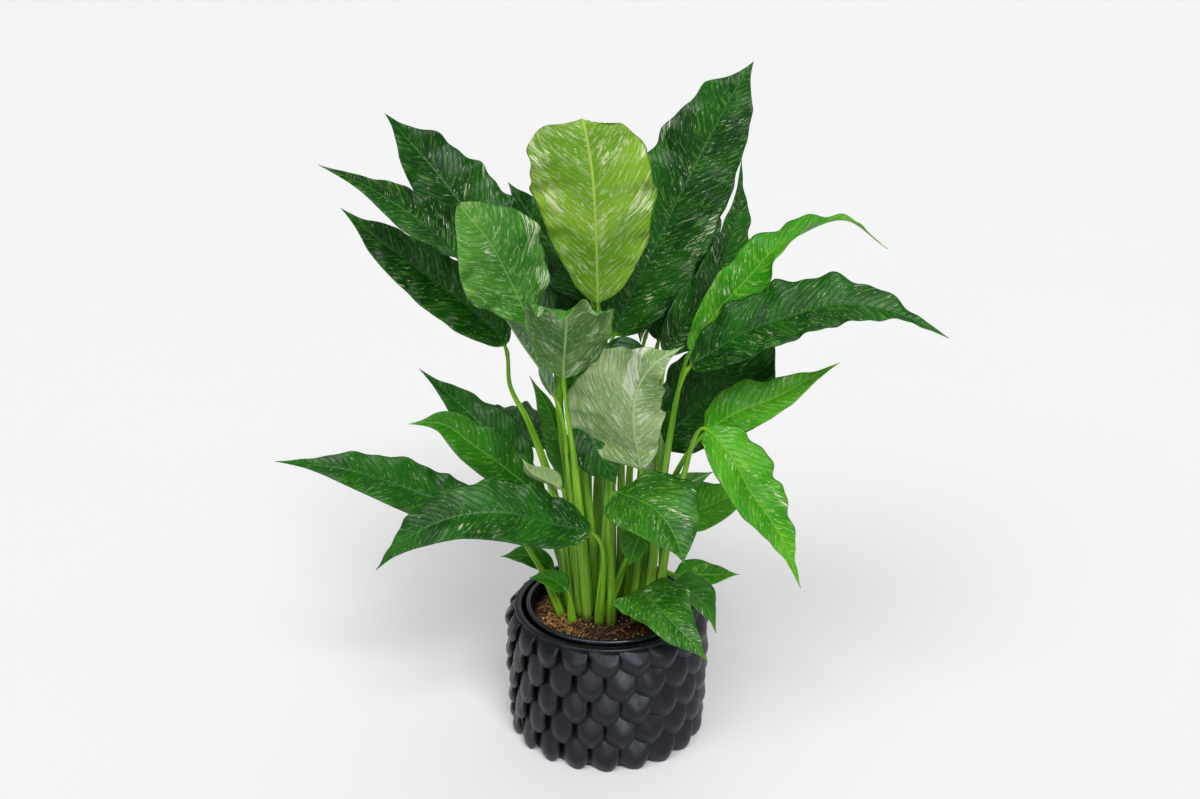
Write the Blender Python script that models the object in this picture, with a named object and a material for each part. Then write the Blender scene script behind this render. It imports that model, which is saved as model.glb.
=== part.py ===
# Potted variegated peace lily: a scalloped outer planter, the nursery pot that stands in it,
# the potting soil, every leaf with its own stalk, and one dried stalk lying on the soil.
# Metres, +Z up. The origin is the centre of the planter's flat foot; the front of the plant is -Y.
import math

import bpy
import numpy as np

MM = 0.001

# Outer planter
CREST_RADIUS_FOOT = 0.0925
CREST_RADIUS_TOP = 0.0955
SCALE_RELIEF = 0.0085
SCALES_ROUND = 20
SCALE_PHASE = 0.38
SCALE_ROWS = 5
ROW_PITCH = 0.025
PLANTER_HEIGHT = 0.1255
SHOULDER_HEIGHT = 0.119
RIM_OUTER_RADIUS = 0.086
RIM_INNER_RADIUS = 0.0795
INNER_WALL_RADIUS = 0.0785
FLOOR_HEIGHT = 0.006
FOOT_RADIUS = 0.085

# Nursery pot, standing a little to the front right inside the planter
NURSERY_X = 0.0012
NURSERY_Y = -0.0012
NURSERY_TOP = 0.1285
NURSERY_RIM_RADIUS = 0.0762
NURSERY_WALL = 0.0014
NURSERY_FOOT_RADIUS = 0.056

# Soil
SOIL_EDGE_HEIGHT = 0.1145
SOIL_MOUND = 0.0035
SOIL_RADIUS = 0.0689

GAP = 0.0003

# Leaf build
STALK_RINGS = 5
STALK_BASE_RADIUS = 3.6
STALK_NECK_RADIUS = 1.5
BLADE_THICKNESS = 1.0
RIB_THICKNESS = 1.9

# One row per leaf, in millimetres:
# name: root on the soil, stalk points, blade points from neck to tip, full width, fold,
#       the way the upper face looks at the neck and at the tip
LEAVES = {
    "tall_right": (
        (2, 13), [], [(5, 15, 380), (30, 25, 435), (70, 45, 515), (105, 60, 580), (125, 70, 610)],
        88, 0.25, (-2, -10, 3), (-3, -10, 3)),
    "centre_bright": (
        (4, -8), [(0, 2, 330)],
        [(-8, -24, 422), (-10, -42, 494), (-14, -52, 550), (-20, -45, 578), (-24, -12, 560)],
        98, 0.12, (0, 10, 1), (0, -3, -10)),
    "upper_left": (
        (-10, 11), [], [(-50, 20, 395), (-95, 45, 450), (-135, 65, 495), (-170, 80, 535), (-195, 85, 563)],
        72, 0.30, (2, -10, 5), (6, -10, 3)),
    "left_long_high": (
        (-26, -10), [(-33, -24, 260)],
        [(-44, -38, 342), (-72, -22, 389), (-97, -8, 420), (-132, 2, 462), (-162, 6, 488),
         (-198, 6, 514), (-242, 8, 534)],
        58, 0.45, (9, 7, 2), (-2, -10, 5)),
    "left_long_low": (
        (-33, -5), [(-47, 0, 231), (-71, 8, 304), (-86, 14, 334)],
        [(-90, 20, 369), (-120, 28, 401), (-158, 32, 431), (-200, 34, 464), (-230, 34, 491)],
        54, 0.30, (3, -10, 5), (3, -10, 5)),
    "left_front_light": (
        (-18, 3), [(-42, -4, 320), (-43, -34, 374)],
        [(-64, -50, 414), (-78, -54, 449), (-92, -66, 483), (-117, -78, 521)],
        76, 0.20, (2, -10, 6), (2, -10, 6)),
    "mid_left_underside": (
        (-18, -17), [(-29, -37, 285)],
        [(-37, -44, 363), (-35, -70, 402), (-33, -92, 430), (-33, -114, 444), (-37, -140, 445)],
        88, 0.20, (0, 10, 6), (0, 4, 10)),
    "mid_left_behind": (
        (-16, -7), [], [(-31, -4, 327), (-28, -5, 358), (-23, -8, 400)],
        36, 0.20, (0, -10, 3), (0, -10, 3)),
    "centre_dark": (
        (-6, -9), [(2, -8, 310)], [(-5, -18, 379), (9, -22, 368), (28, -27, 345), (48, -28, 322)],
        66, 0.20, (3, -10, 7), (5, -10, 5)),
    "front_pale": (
        (23, -5), [(30, -16, 200)],
        [(29, -38, 277), (23, -50, 319), (25, -66, 364), (39, -82, 391), (62, -88, 408)],
        116, 0.15, (4, 10, 1), (2, 8, -6)),
    "back_left_small": (
        (-12, 20), [], [(-14, 38, 407), (-42, 52, 441), (-68, 65, 476), (-88, 73, 505)],
        54, 0.30, (3, -10, 4), (3, -10, 4)),
    "back_centre": (
        (-2, 26), [], [(-2, 46, 374), (-8, 68, 403), (-12, 92, 425), (-10, 112, 445)],
        62, 0.30, (0, -10, 5), (0, -10, 5)),
    "back_right_droop": (
        (13, 22), [], [(17, 32, 388), (28, 40, 395), (30, 48, 363)],
        30, 0.30, (0, -5, 10), (0, 10, 5)),
    "right_behind": (
        (24, 28), [(34, 37, 270)], [(46, 44, 366), (57, 54, 398), (72, 63, 428), (84, 69, 457)],
        48, 0.30, (-2, -10, 3), (-2, -10, 3)),
    "right_narrow": (
        (28, 14), [(41, 8, 200)],
        [(52, 4, 366), (68, 8, 396), (92, 12, 433), (108, 18, 480), (113, 25, 535)],
        50, 0.35, (5, -10, 3), (5, -10, 3)),
    "right_twisted": (
        (37, 18), [],
        [(71, -4, 372), (92, -6, 408), (119, -8, 441), (147, -14, 473), (193, -20, 493), (232, -26, 470)],
        40, 0.40, (5, -10, 4), (0, 3, 10)),
    "right_arching": (
        (35, -15), [],
        [(70, -24, 366), (101, -34, 392), (141, -46, 416), (187, -58, 432), (226, -67, 431), (277, -75, 409)],
        62, 0.25, (0, -7, 10), (0, -7, 10)),
    "right_shaded": (
        (18, 8), [], [(43, 22, 273), (82, 30, 308), (114, 38, 347), (119, 44, 389), (100, 48, 425)],
        84, 0.25, (-2, -10, 4), (-2, -10, 4)),
    "right_bright_up": (
        (50, 1), [(61, 1, 253)], [(86, -16, 302), (111, -18, 321), (146, -14, 335), (203, 0, 362)],
        46, 0.30, (-2, -8, 8), (-2, -8, 8)),
    "right_bright_down": (
        (44, -11), [(66, -24, 261)],
        [(84, -44, 317), (104, -58, 298), (124, -72, 268), (145, -82, 237), (165, -94, 190)],
        54, 0.25, (4, -8, 8), (5, -8, 3)),
    "right_small_tip": (
        (32, -5), [], [(40, -5, 225), (65, -13, 247), (94, -20, 267)],
        30, 0.30, (0, 10, 3), (0, 10, 3)),
    "front_heart": (
        (4, -26), [], [(7, -50, 260), (27, -74, 264), (46, -96, 259), (57, -110, 246), (63, -118, 227)],
        74, 0.20, (1, -6, 10), (5, -10, 4)),
    "front_heart_under": (
        (-2, -17), [(16, -25, 178)], [(30, -52, 226), (24, -61, 215), (19, -66, 198)],
        28, 0.30, (-3, -8, 6), (-3, -8, 3)),
    "right_low": (
        (34, 4), [], [(56, -8, 210), (82, -6, 222), (109, -3, 233), (135, 2, 246)],
        42, 0.30, (0, -8, 8), (0, -8, 8)),
    "centre_shaded": (
        (-9, 1), [], [(-20, -10, 312), (-12, -20, 296), (-2, -27, 278), (8, -30, 259)],
        50, 0.30, (0, -10, 6), (0, -10, 2)),
    "left_narrow": (
        (-20, 16), [], [(-37, 16, 236), (-43, 19, 276), (-53, 22, 310), (-70, 27, 340)],
        26, 0.40, (-6, -10, 3), (-6, -10, 3)),
    "left_young_pale": (
        (-26, 1), [], [(-41, -12, 247), (-56, -15, 256), (-67, -17, 264), (-75, -19, 279)],
        24, 0.50, (0, 10, 6), (0, 10, 6)),
    "left_pair_high": (
        (-29, 12), [], [(-73, 20, 241), (-98, 29, 270), (-125, 40, 297), (-173, 57, 336)],
        50, 0.30, (4, -10, 6), (4, -10, 6)),
    "left_pair_low": (
        (-36, 4), [], [(-56, 2, 227), (-87, 0, 257), (-118, -3, 284), (-145, -3, 305), (-176, -5, 306)],
        42, 0.30, (3, -10, 8), (0, -10, 10)),
    "left_far": (
        (-42, -9), [(-63, -7, 168)],
        [(-106, -5, 222), (-150, -8, 233), (-191, -14, 253), (-238, -20, 270), (-292, -25, 279)],
        48, 0.30, (0, -9, 9), (0, -9, 9)),
    "front_left_droop": (
        (-7, -26), [],
        [(-13, -52, 222), (-51, -64, 238), (-87, -74, 252), (-129, -84, 254), (-171, -90, 234), (-197, -94, 208)],
        56, 0.25, (1, -9, 9), (-2, -9, 9)),
    "rim_left_back": (
        (-45, 4), [], [(-50, 5, 155), (-73, 5, 170), (-99, 8, 168)],
        20, 0.30, (0, -8, 8), (0, -8, 8)),
    "rim_left_front": (
        (-32, -21), [], [(-37, -20, 148), (-51, -24, 162), (-71, -27, 165)],
        20, 0.30, (0, -8, 8), (0, -8, 8)),
    "rim_front": (
        (26, -22), [], [(25, -34, 153), (42, -60, 157), (61, -88, 149), (87, -102, 124)],
        60, 0.22, (2, -6, 10), (4, -8, 6)),
    "rim_right": (
        (56, -7), [], [(58, -14, 148), (75, -26, 150), (89, -40, 140), (98, -52, 122)],
        38, 0.25, (5, -6, 8), (8, -6, 3)),
    "rim_right_light": (
        (48, 18), [(52, 16, 147)], [(62, 11, 147), (88, 6, 150), (123, 1, 153)],
        28, 0.30, (0, -8, 8), (0, -8, 8)),
    "stem_side_pale": (
        (25, 4), [], [(41, 10, 243), (45, 13, 264), (49, 16, 289)],
        24, 0.30, (0, 10, 2), (0, 10, 2)),
    "rear_left": (
        (-16, 30), [], [(-29, 62, 371), (-62, 110, 412), (-90, 150, 432), (-112, 185, 434)],
        68, 0.30, (2, -10, 10), (2, -3, 10)),
    "rear_tall": (
        (5, 34), [], [(5, 82, 361), (6, 114, 435), (8, 138, 486), (8, 154, 512)],
        68, 0.30, (0, -10, 5), (0, -10, 8)),
    "rear_right": (
        (14, 38), [], [(37, 66, 369), (64, 98, 416), (86, 128, 452), (99, 154, 465)],
        64, 0.30, (-2, -10, 8), (-2, -6, 10)),
    "rear_low": (
        (-4, 42), [], [(-6, 80, 269), (-2, 125, 276), (6, 168, 260), (14, 205, 224)],
        60, 0.30, (0, -5, 10), (0, 5, 10)),
    "rear_low_left": (
        (-28, 34), [], [(-55, 70, 250), (-92, 105, 262), (-125, 138, 252), (-150, 165, 226)],
        54, 0.30, (2, -4, 10), (-4, 5, 10)),
    "rear_low_right": (
        (27, 42), [], [(45, 72, 262), (78, 112, 276), (104, 150, 266), (126, 186, 236)],
        56, 0.30, (-1, -4, 10), (4, 5, 10)),
}

# Dried stalk: points along it in millimetres, and its radius
DRY_STALK = [(26, -27, 120.5), (17, -38, 121.5), (11, -50, 125), (4, -62, 129), (-1, -70, 131.4)]
DRY_STALK_RADIUS = 0.9


def soil_height(x, y):
    # Height of the soil: level at the edge and mounded around the crown
    fraction = min(1.0, math.hypot(x, y) / SOIL_RADIUS)
    return SOIL_EDGE_HEIGHT + SOIL_MOUND * 0.5 * (1.0 + math.cos(math.pi * fraction))


def material(name, colour, roughness, metallic=0.0):
    made = bpy.data.materials.new(name)
    made.use_nodes = True
    shader = made.node_tree.nodes["Principled BSDF"]
    shader.inputs["Base Color"].default_value = (*colour, 1.0)
    shader.inputs["Roughness"].default_value = roughness
    shader.inputs["Metallic"].default_value = metallic
    return made


def add_solid(name, rings, made):
    # Joins equal rings of points into one closed body, each end closed by a fan to its centre
    rings = np.asarray(rings, float)
    count, around = rings.shape[:2]
    points = rings.reshape(-1, 3)
    index = np.arange(count * around).reshape(count, around)
    ahead = np.roll(index, -1, axis=1)
    # Each square is cut in two the same way above and below, so a thin curved wall never crosses itself
    half = around // 2
    rising = [(index[:-1, :half], ahead[:-1, :half], ahead[1:, :half]),
              (index[:-1, :half], ahead[1:, :half], index[1:, :half])]
    falling = [(index[:-1, half:], ahead[:-1, half:], index[1:, half:]),
               (ahead[:-1, half:], ahead[1:, half:], index[1:, half:])]
    triangles = np.vstack([np.stack(corners, axis=-1).reshape(-1, 3) for corners in rising + falling])
    faces = [tuple(int(i) for i in triangle) for triangle in triangles]
    start = len(points)
    points = np.vstack([points, rings[0].mean(axis=0), rings[-1].mean(axis=0)])
    for k in range(around):
        faces.append((int(ahead[0, k]), int(index[0, k]), start))
        faces.append((int(index[-1, k]), int(ahead[-1, k]), start + 1))
    mesh = bpy.data.meshes.new(name)
    mesh.from_pydata(points.tolist(), [], faces)
    mesh.materials.append(made)
    mesh.update()
    body = bpy.data.objects.new(name, mesh)
    bpy.context.scene.collection.objects.link(body)
    return body


def scale_surface(angle, height):
    # Planter radius: each row of scales hangs over the row below, and each scale stands
    # proud of the neighbour on its right
    taper = min(1.0, 2.0 * height / PLANTER_HEIGHT)
    crest = CREST_RADIUS_FOOT + (CREST_RADIUS_TOP - CREST_RADIUS_FOOT) * taper
    best = 0.0
    for row in range(SCALE_ROWS):
        across = (angle * SCALES_ROUND / (2.0 * math.pi) + 0.5 * (row % 2) - SCALE_PHASE) % 1.0
        side = (across - 0.6) / (0.6 if across < 0.6 else 0.4)
        down = (height - row * ROW_PITCH) / ROW_PITCH - 0.35 * side * side
        if down > -0.1:
            lobe = 0.35 + 0.65 * math.sin(0.5 * math.pi * min(1.0, across / 0.7)) - 0.12 * max(0.0, side)
            hang = min(1.0, (down + 0.1) / 0.25) * max(0.0, 1.0 - 0.5 * max(0.0, down))
            best = max(best, lobe * hang)
    return crest - SCALE_RELIEF * (1.0 - best)


def build_planter():
    around = SCALES_ROUND * 4
    angles = [2.0 * math.pi * k / around for k in range(around)]
    rings = [[(FOOT_RADIUS * math.cos(a), FOOT_RADIUS * math.sin(a), 0.0) for a in angles]]
    heights = [0.0015] + [SHOULDER_HEIGHT * k / 15 for k in range(1, 16)]
    for height in heights:
        rings.append([
            (scale_surface(a, height) * math.cos(a), scale_surface(a, height) * math.sin(a), height)
            for a in angles])
    lip = [
        (RIM_OUTER_RADIUS + 0.001, SHOULDER_HEIGHT + 0.003),
        (RIM_OUTER_RADIUS, PLANTER_HEIGHT - 0.001),
        (RIM_OUTER_RADIUS - 0.0015, PLANTER_HEIGHT),
        (RIM_INNER_RADIUS + 0.001, PLANTER_HEIGHT),
        (RIM_INNER_RADIUS, PLANTER_HEIGHT - 0.001),
        (INNER_WALL_RADIUS, FLOOR_HEIGHT)]
    for radius, height in lip:
        rings.append([(radius * math.cos(a), radius * math.sin(a), height) for a in angles])
    add_solid("planter", rings, material("satin_black_printed_resin", (0.018, 0.018, 0.022), 0.42))


def nursery_profile_radius(height):
    # Outer radius of the tapering nursery pot wall
    fraction = (height - FLOOR_HEIGHT) / (NURSERY_TOP - FLOOR_HEIGHT)
    return NURSERY_FOOT_RADIUS + (0.0725 - NURSERY_FOOT_RADIUS) * fraction


def build_nursery_pot():
    around = 48
    low = FLOOR_HEIGHT + GAP
    inner = nursery_profile_radius(NURSERY_TOP) - NURSERY_WALL
    profile = [
        (nursery_profile_radius(low), low),
        (nursery_profile_radius(0.118), 0.118),
        (NURSERY_RIM_RADIUS - 0.0008, 0.121),
        (NURSERY_RIM_RADIUS, 0.1255),
        (NURSERY_RIM_RADIUS - 0.0012, 0.1280),
        (NURSERY_RIM_RADIUS - 0.0030, NURSERY_TOP),
        (inner + 0.0012, 0.1276),
        (inner, 0.1245),
        (nursery_profile_radius(low) - NURSERY_WALL, low + NURSERY_WALL)]
    rings = [[
        (NURSERY_X + radius * math.cos(2.0 * math.pi * k / around),
         NURSERY_Y + radius * math.sin(2.0 * math.pi * k / around), height)
        for k in range(around)] for radius, height in profile]
    add_solid("nursery_pot", rings, material("gloss_black_moulded_plastic", (0.012, 0.014, 0.018), 0.25))


def build_soil():
    around = 48
    low = FLOOR_HEIGHT + GAP + NURSERY_WALL + GAP
    low_radius = nursery_profile_radius(low) - NURSERY_WALL - GAP
    profile = [(low_radius, low), (SOIL_RADIUS, SOIL_EDGE_HEIGHT)]
    rings = [[
        (NURSERY_X + radius * math.cos(2.0 * math.pi * k / around),
         NURSERY_Y + radius * math.sin(2.0 * math.pi * k / around), height)
        for k in range(around)] for radius, height in profile]
    for fraction in (0.75, 0.5, 0.25):
        ring = []
        for k in range(around):
            x = SOIL_RADIUS * fraction * math.cos(2.0 * math.pi * k / around)
            y = SOIL_RADIUS * fraction * math.sin(2.0 * math.pi * k / around)
            ring.append((NURSERY_X + x, NURSERY_Y + y, soil_height(x, y)))
        rings.append(ring)
    add_solid("potting_soil", rings, material("peat_and_coir_soil", (0.045, 0.025, 0.013), 0.95))


def smooth_path(points, stations):
    # Points along a smooth curve through the given points; stations run from 0 to the last index
    points = np.asarray(points, float)
    lengths = np.maximum(np.linalg.norm(np.diff(points, axis=0), axis=1), 1e-6)
    slopes = np.diff(points, axis=0) / lengths[:, None]
    tangents = np.empty_like(points)
    weights = lengths[:-1] / (lengths[:-1] + lengths[1:])
    tangents[1:-1] = slopes[:-1] * (1.0 - weights)[:, None] + slopes[1:] * weights[:, None]
    tangents[0] = slopes[0]
    tangents[-1] = slopes[-1]
    base = np.clip(np.floor(stations).astype(int), 0, len(points) - 2)
    t = (stations - base)[:, None]
    span = lengths[base]
    pull_out = np.minimum(span, 2.0 * lengths[np.maximum(base - 1, 0)])[:, None]
    pull_in = np.minimum(span, 2.0 * lengths[np.minimum(base + 1, len(lengths) - 1)])[:, None]
    return (points[base] * (2 * t ** 3 - 3 * t ** 2 + 1) + tangents[base] * pull_out * (t ** 3 - 2 * t ** 2 + t)
            + points[base + 1] * (3 * t ** 2 - 2 * t ** 3) + tangents[base + 1] * pull_in * (t ** 3 - t ** 2))


def leaf_rings(root, stalk, blade, width, fold, face_neck, face_tip):
    # Rings of eight points along the leaf: a round stalk that opens into a thin folded blade
    start = (root[0], root[1], soil_height((root[0] * MM - NURSERY_X), (root[1] * MM - NURSERY_Y)) / MM + 0.5)
    path = [start] + list(stalk) + list(blade)
    neck = 1 + len(stalk)
    stations = np.concatenate([
        np.linspace(0.0, neck, STALK_RINGS, endpoint=False),
        neck + (len(blade) - 1) * np.array([0.0, 0.05, 0.15, 0.28, 0.42, 0.57, 0.71, 0.84, 0.94, 0.995])])
    spine = smooth_path(path, stations)
    ahead = smooth_path(path, np.minimum(stations + 0.02, len(path) - 1.0))
    behind = smooth_path(path, np.maximum(stations - 0.02, 0.0))
    along = ahead - behind
    along /= np.linalg.norm(along, axis=1)[:, None]
    u = np.clip((stations - neck) / (len(blade) - 1.0), 0.0, 1.0)[:, None]
    face = np.asarray(face_neck, float) * (1.0 - u) + np.asarray(face_tip, float) * u
    along[0] = (0.0, 0.0, 1.0)
    side = np.cross(face, along)
    side /= np.linalg.norm(side, axis=1)[:, None]
    up = np.cross(along, side)
    u = u[:, 0]
    shape = u ** 0.55 * (1.0 - u) ** 1.05
    half = 0.5 * width * shape / 0.4205
    slimmer = np.clip(1.0 - stations / neck, 0, 1)
    stalk_radius = STALK_NECK_RADIUS + (STALK_BASE_RADIUS - STALK_NECK_RADIUS) * slimmer
    half = np.maximum(half, stalk_radius * np.where(u > 0.9, 0.3, 1.0))
    blend = np.clip(u / 0.12, 0.0, 1.0)
    mid = stalk_radius * (1.0 - blend) + 0.5 * RIB_THICKNESS * (1.0 - 0.6 * u) * blend
    quarter = stalk_radius * 0.72 * (1.0 - blend) + 0.5 * BLADE_THICKNESS * (1.0 - 0.4 * u) * blend
    reach = 0.7 * (1.0 - blend) + 0.55 * blend
    lift = fold * half * blend
    rings = []
    for a, b, q, r, c, p, s, n in zip(half, mid, quarter, reach, lift, spine, side, up):
        across = [(-a, c), (-a * r, c * r - q), (0.0, -b), (a * r, c * r - q),
                  (a, c), (a * r, c * r + q), (0.0, b), (-a * r, c * r + q)]
        rings.append([(p + s * x + n * y) * MM for x, y in across])
    return rings


def leaf_colour(name):
    bright = (
        "centre_bright", "right_bright_up", "right_bright_down", "right_twisted", "right_low",
        "rim_right_light")
    pale = ("front_pale", "mid_left_underside", "stem_side_pale", "left_young_pale", "right_small_tip")
    if name in bright:
        return "bright_green_leaf", (0.13, 0.36, 0.02)
    if name in pale:
        return "pale_underside_leaf", (0.27, 0.42, 0.13)
    return "dark_green_leaf", (0.02, 0.15, 0.03)


def build_leaves():
    made = {}
    for name, values in LEAVES.items():
        label, colour = leaf_colour(name)
        if label not in made:
            made[label] = material(label, colour, 0.35)
        add_solid("leaf_" + name, leaf_rings(*values), made[label])


def build_dry_stalk():
    rings = []
    spine = smooth_path(DRY_STALK, np.linspace(0, len(DRY_STALK) - 1, 9))
    along = np.gradient(spine, axis=0)
    along /= np.linalg.norm(along, axis=1)[:, None]
    side = np.cross((0.0, 0.0, 1.0), along)
    side /= np.linalg.norm(side, axis=1)[:, None]
    up = np.cross(along, side)
    for k in range(len(spine)):
        radius = DRY_STALK_RADIUS * (0.7 + 0.5 * math.sin(0.9 * k) ** 2)
        rings.append([
            (spine[k] + radius * (side[k] * math.cos(math.pi * j / 3) + up[k] * math.sin(math.pi * j / 3))) * MM
            for j in range(6)])
    add_solid("dry_stalk", rings, material("dried_brown_stalk", (0.20, 0.09, 0.05), 0.9))


for thing in list(bpy.data.objects):
    bpy.data.objects.remove(thing, do_unlink=True)

build_planter()
build_nursery_pot()
build_soil()
build_leaves()
build_dry_stalk()
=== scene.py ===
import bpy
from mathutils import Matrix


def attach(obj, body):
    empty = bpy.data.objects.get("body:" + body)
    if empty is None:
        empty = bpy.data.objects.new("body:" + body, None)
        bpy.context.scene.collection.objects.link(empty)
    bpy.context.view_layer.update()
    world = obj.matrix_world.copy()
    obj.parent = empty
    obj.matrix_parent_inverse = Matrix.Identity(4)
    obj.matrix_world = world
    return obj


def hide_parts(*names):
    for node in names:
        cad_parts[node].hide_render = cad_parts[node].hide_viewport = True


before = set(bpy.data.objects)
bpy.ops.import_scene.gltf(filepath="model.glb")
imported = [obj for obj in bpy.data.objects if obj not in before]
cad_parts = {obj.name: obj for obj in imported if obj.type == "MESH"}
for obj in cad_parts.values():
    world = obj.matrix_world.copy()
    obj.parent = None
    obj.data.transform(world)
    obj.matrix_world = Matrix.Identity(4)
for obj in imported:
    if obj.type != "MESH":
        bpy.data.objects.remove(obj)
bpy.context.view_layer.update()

import math

import bpy
import numpy as np

# Potted variegated peace lily. Shapes are worked out in millimetres and put into meshes in metres.
# The front of the plant is -Y, the pots stand on z = 0.
mm = 0.001


def linearColour(hexCode):
    # sRGB hex to linear: each channel c becomes c/12.92 below 0.04045, else ((c+0.055)/1.055)^2.4
    srgb = [int(hexCode[i:i + 2], 16) / 255.0 for i in (1, 3, 5)]
    return [c / 12.92 if c <= 0.04045 else ((c + 0.055) / 1.055) ** 2.4 for c in srgb] + [1.0]


def addNode(tree, kind, settings=None, links=None):
    # Adds one node: a setting is a property, or a socket's value where no property has that name
    node = tree.nodes.new(kind)
    for key, value in (settings or {}).items():
        if isinstance(key, str) and hasattr(node, key):
            setattr(node, key, value)
        else:
            node.inputs[key].default_value = value
    for key, source in (links or {}).items():
        tree.links.new(source, node.inputs[key])
    return node


def newMaterial(name):
    made = bpy.data.materials.new(name)
    made.use_nodes = True
    made.node_tree.nodes.clear()
    return made, made.node_tree


def calc(tree, operation, a, b=None, clamp=False):
    # One sum on sockets or plain numbers
    settings, links = {"operation": operation, "use_clamp": clamp}, {}
    for slot, value in ((0, a), (1, b)):
        if isinstance(value, (int, float)):
            settings[slot] = value
        elif value is not None:
            links[slot] = value
    return addNode(tree, "ShaderNodeMath", settings, links).outputs[0]


def ramp(tree, value, low, high, toLow=0.0, toHigh=1.0):
    # Smooth step: toLow below low, toHigh above high
    return addNode(
        tree, "ShaderNodeMapRange",
        {"interpolation_type": "SMOOTHSTEP", "From Min": low, "From Max": high,
         "To Min": toLow, "To Max": toHigh},
        {"Value": value}).outputs[0]


def blendColour(tree, factor, first, second, blend="MIX"):
    # Mix of two colours, each a hex code or a socket
    settings, links = {"data_type": "RGBA", "blend_type": blend, "clamp_factor": True}, {}
    for slot, value in ((6, first), (7, second)):
        if isinstance(value, str):
            settings[slot] = linearColour(value)
        else:
            links[slot] = value
    if isinstance(factor, (int, float)):
        settings[0] = factor
    else:
        links[0] = factor
    return addNode(tree, "ShaderNodeMix", settings, links).outputs[2]


def noise(tree, vector, scale, detail=2.0, roughness=0.5, distortion=0.0):
    return addNode(
        tree, "ShaderNodeTexNoise",
        {"Scale": scale, "Detail": detail, "Roughness": roughness, "Distortion": distortion},
        {"Vector": vector}).outputs["Fac"]


def finishSurface(tree, colour, roughness, height, bumpDistance, shader):
    # Principled surface with its colour, roughness and bump from the nodes before it
    links = {"Base Color": colour, "Roughness": roughness}
    if height is not None:
        relief = {"Strength": 1.0, "Distance": bumpDistance}
        bump = addNode(tree, "ShaderNodeBump", relief, {"Height": height})
        links["Normal"] = bump.outputs[0]
    return addNode(tree, "ShaderNodeBsdfPrincipled", shader, links)


def makeMesh(name, points, quads, triangles, made, attributes=None):
    # points in metres; quads and triangles are index arrays; attributes are one vector per point
    mesh = bpy.data.meshes.new(name)
    corners = np.concatenate([np.ravel(quads), np.ravel(triangles)]).astype(np.int32)
    starts = np.concatenate([
        np.arange(len(quads)) * 4, len(quads) * 4 + np.arange(len(triangles)) * 3]).astype(np.int32)
    mesh.vertices.add(len(points))
    mesh.vertices.foreach_set("co", np.asarray(points, np.float32).ravel())
    mesh.loops.add(len(corners))
    mesh.loops.foreach_set("vertex_index", corners)
    mesh.polygons.add(len(starts))
    mesh.polygons.foreach_set("loop_start", starts)
    mesh.update(calc_edges=True)
    for label, values in (attributes or {}).items():
        layer = mesh.attributes.new(label, "FLOAT_VECTOR", "POINT")
        layer.data.foreach_set("vector", np.asarray(values, np.float32).ravel())
    mesh.materials.append(made)
    mesh.shade_smooth()
    piece = bpy.data.objects.new(name, mesh)
    bpy.context.scene.collection.objects.link(piece)
    return piece


def ringFaces(count, around, first=0):
    # Faces of a closed tube of rings that start at index first, with a pole point after them at each end
    index = first + np.arange(count * around).reshape(count, around)
    ahead = np.roll(index, -1, axis=1)
    quads = np.stack([index[:-1], ahead[:-1], ahead[1:], index[1:]], axis=-1).reshape(-1, 4)
    startPole = np.full(around, first + count * around)
    low = np.stack([ahead[0], index[0], startPole], axis=-1)
    high = np.stack([index[-1], ahead[-1], startPole + 1], axis=-1)
    return quads, np.vstack([low, high])


def withPoles(rings):
    # The rings as one list of points, followed by the middle of the first ring and of the last
    rings = np.asarray(rings, float)
    return np.vstack([rings.reshape(-1, rings.shape[-1]), rings[0].mean(axis=0), rings[-1].mean(axis=0)])


def tubePiece(name, rings, made, attributes=None):
    quads, triangles = ringFaces(*np.shape(rings)[:2])
    values = {label: withPoles(grid) for label, grid in (attributes or {}).items()}
    return makeMesh(name, withPoles(rings) * mm, quads, triangles, made, values)


def joinedTubes(name, tubes, made):
    # Many closed tubes with equal ring counts as one mesh; tubes has shape tube, ring, around, xyz
    tubes = np.asarray(tubes, float)
    tubeCount, rings, around = tubes.shape[:3]
    points = np.stack([withPoles(tube) for tube in tubes])
    quads, triangles = ringFaces(rings, around)
    shift = (np.arange(tubeCount) * points.shape[1])[:, None, None]
    return makeMesh(
        name, points.reshape(-1, 3) * mm,
        (quads[None] + shift).reshape(-1, 4), (triangles[None] + shift).reshape(-1, 3), made)


def turned(profile, around, centre=(0.0, 0.0)):
    # Rings of a profile (radius, height) turned round a vertical axis
    angle = np.linspace(0.0, 2.0 * np.pi, around, endpoint=False)
    profile = np.asarray(profile, float)
    x = centre[0] + profile[:, :1] * np.cos(angle)
    y = centre[1] + profile[:, :1] * np.sin(angle)
    return np.stack([x, y, np.repeat(profile[:, 1:], around, axis=1)], axis=-1)


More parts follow.
